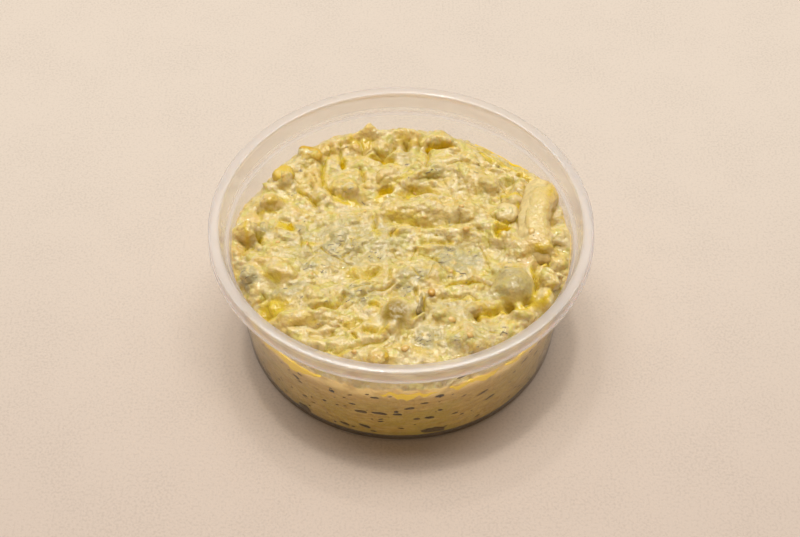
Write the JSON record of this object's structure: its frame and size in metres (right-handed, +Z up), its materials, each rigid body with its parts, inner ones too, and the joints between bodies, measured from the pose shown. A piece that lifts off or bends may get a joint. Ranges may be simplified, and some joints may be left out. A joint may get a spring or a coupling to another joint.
{
  "type": "tub of eggplant mayonnaise salad",
  "caption": "Round clear plastic deli tub with a rolled rim, filled with a chunky, oily eggplant and mayonnaise salad heaped in uneven folds.",
  "frame": {"origin": "centre of the circle that the tub's foot stands on", "axes": "+Z up through the middle of the tub; +Y away from the side that faces the viewer; +X to the viewer's right"},
  "size_m": [0.1186, 0.1186, 0.047],
  "materials": {
    "clear_plastic": "clear, slightly milky moulded plastic with a smooth gloss",
    "salad": "wet, lumpy pale yellow cream with mashed eggplant",
    "eggplant": "wet grey-green eggplant flesh and skin",
    "seed": "glossy tan seeds",
    "pepper": "soft orange pieces of carrot or pepper, wet",
    "oil": "clear yellow oil lying in the creases"
  },
  "bodies": {
    "root": {"tub": "clear_plastic", "salad": "salad"}
  },
  "joints": []
}
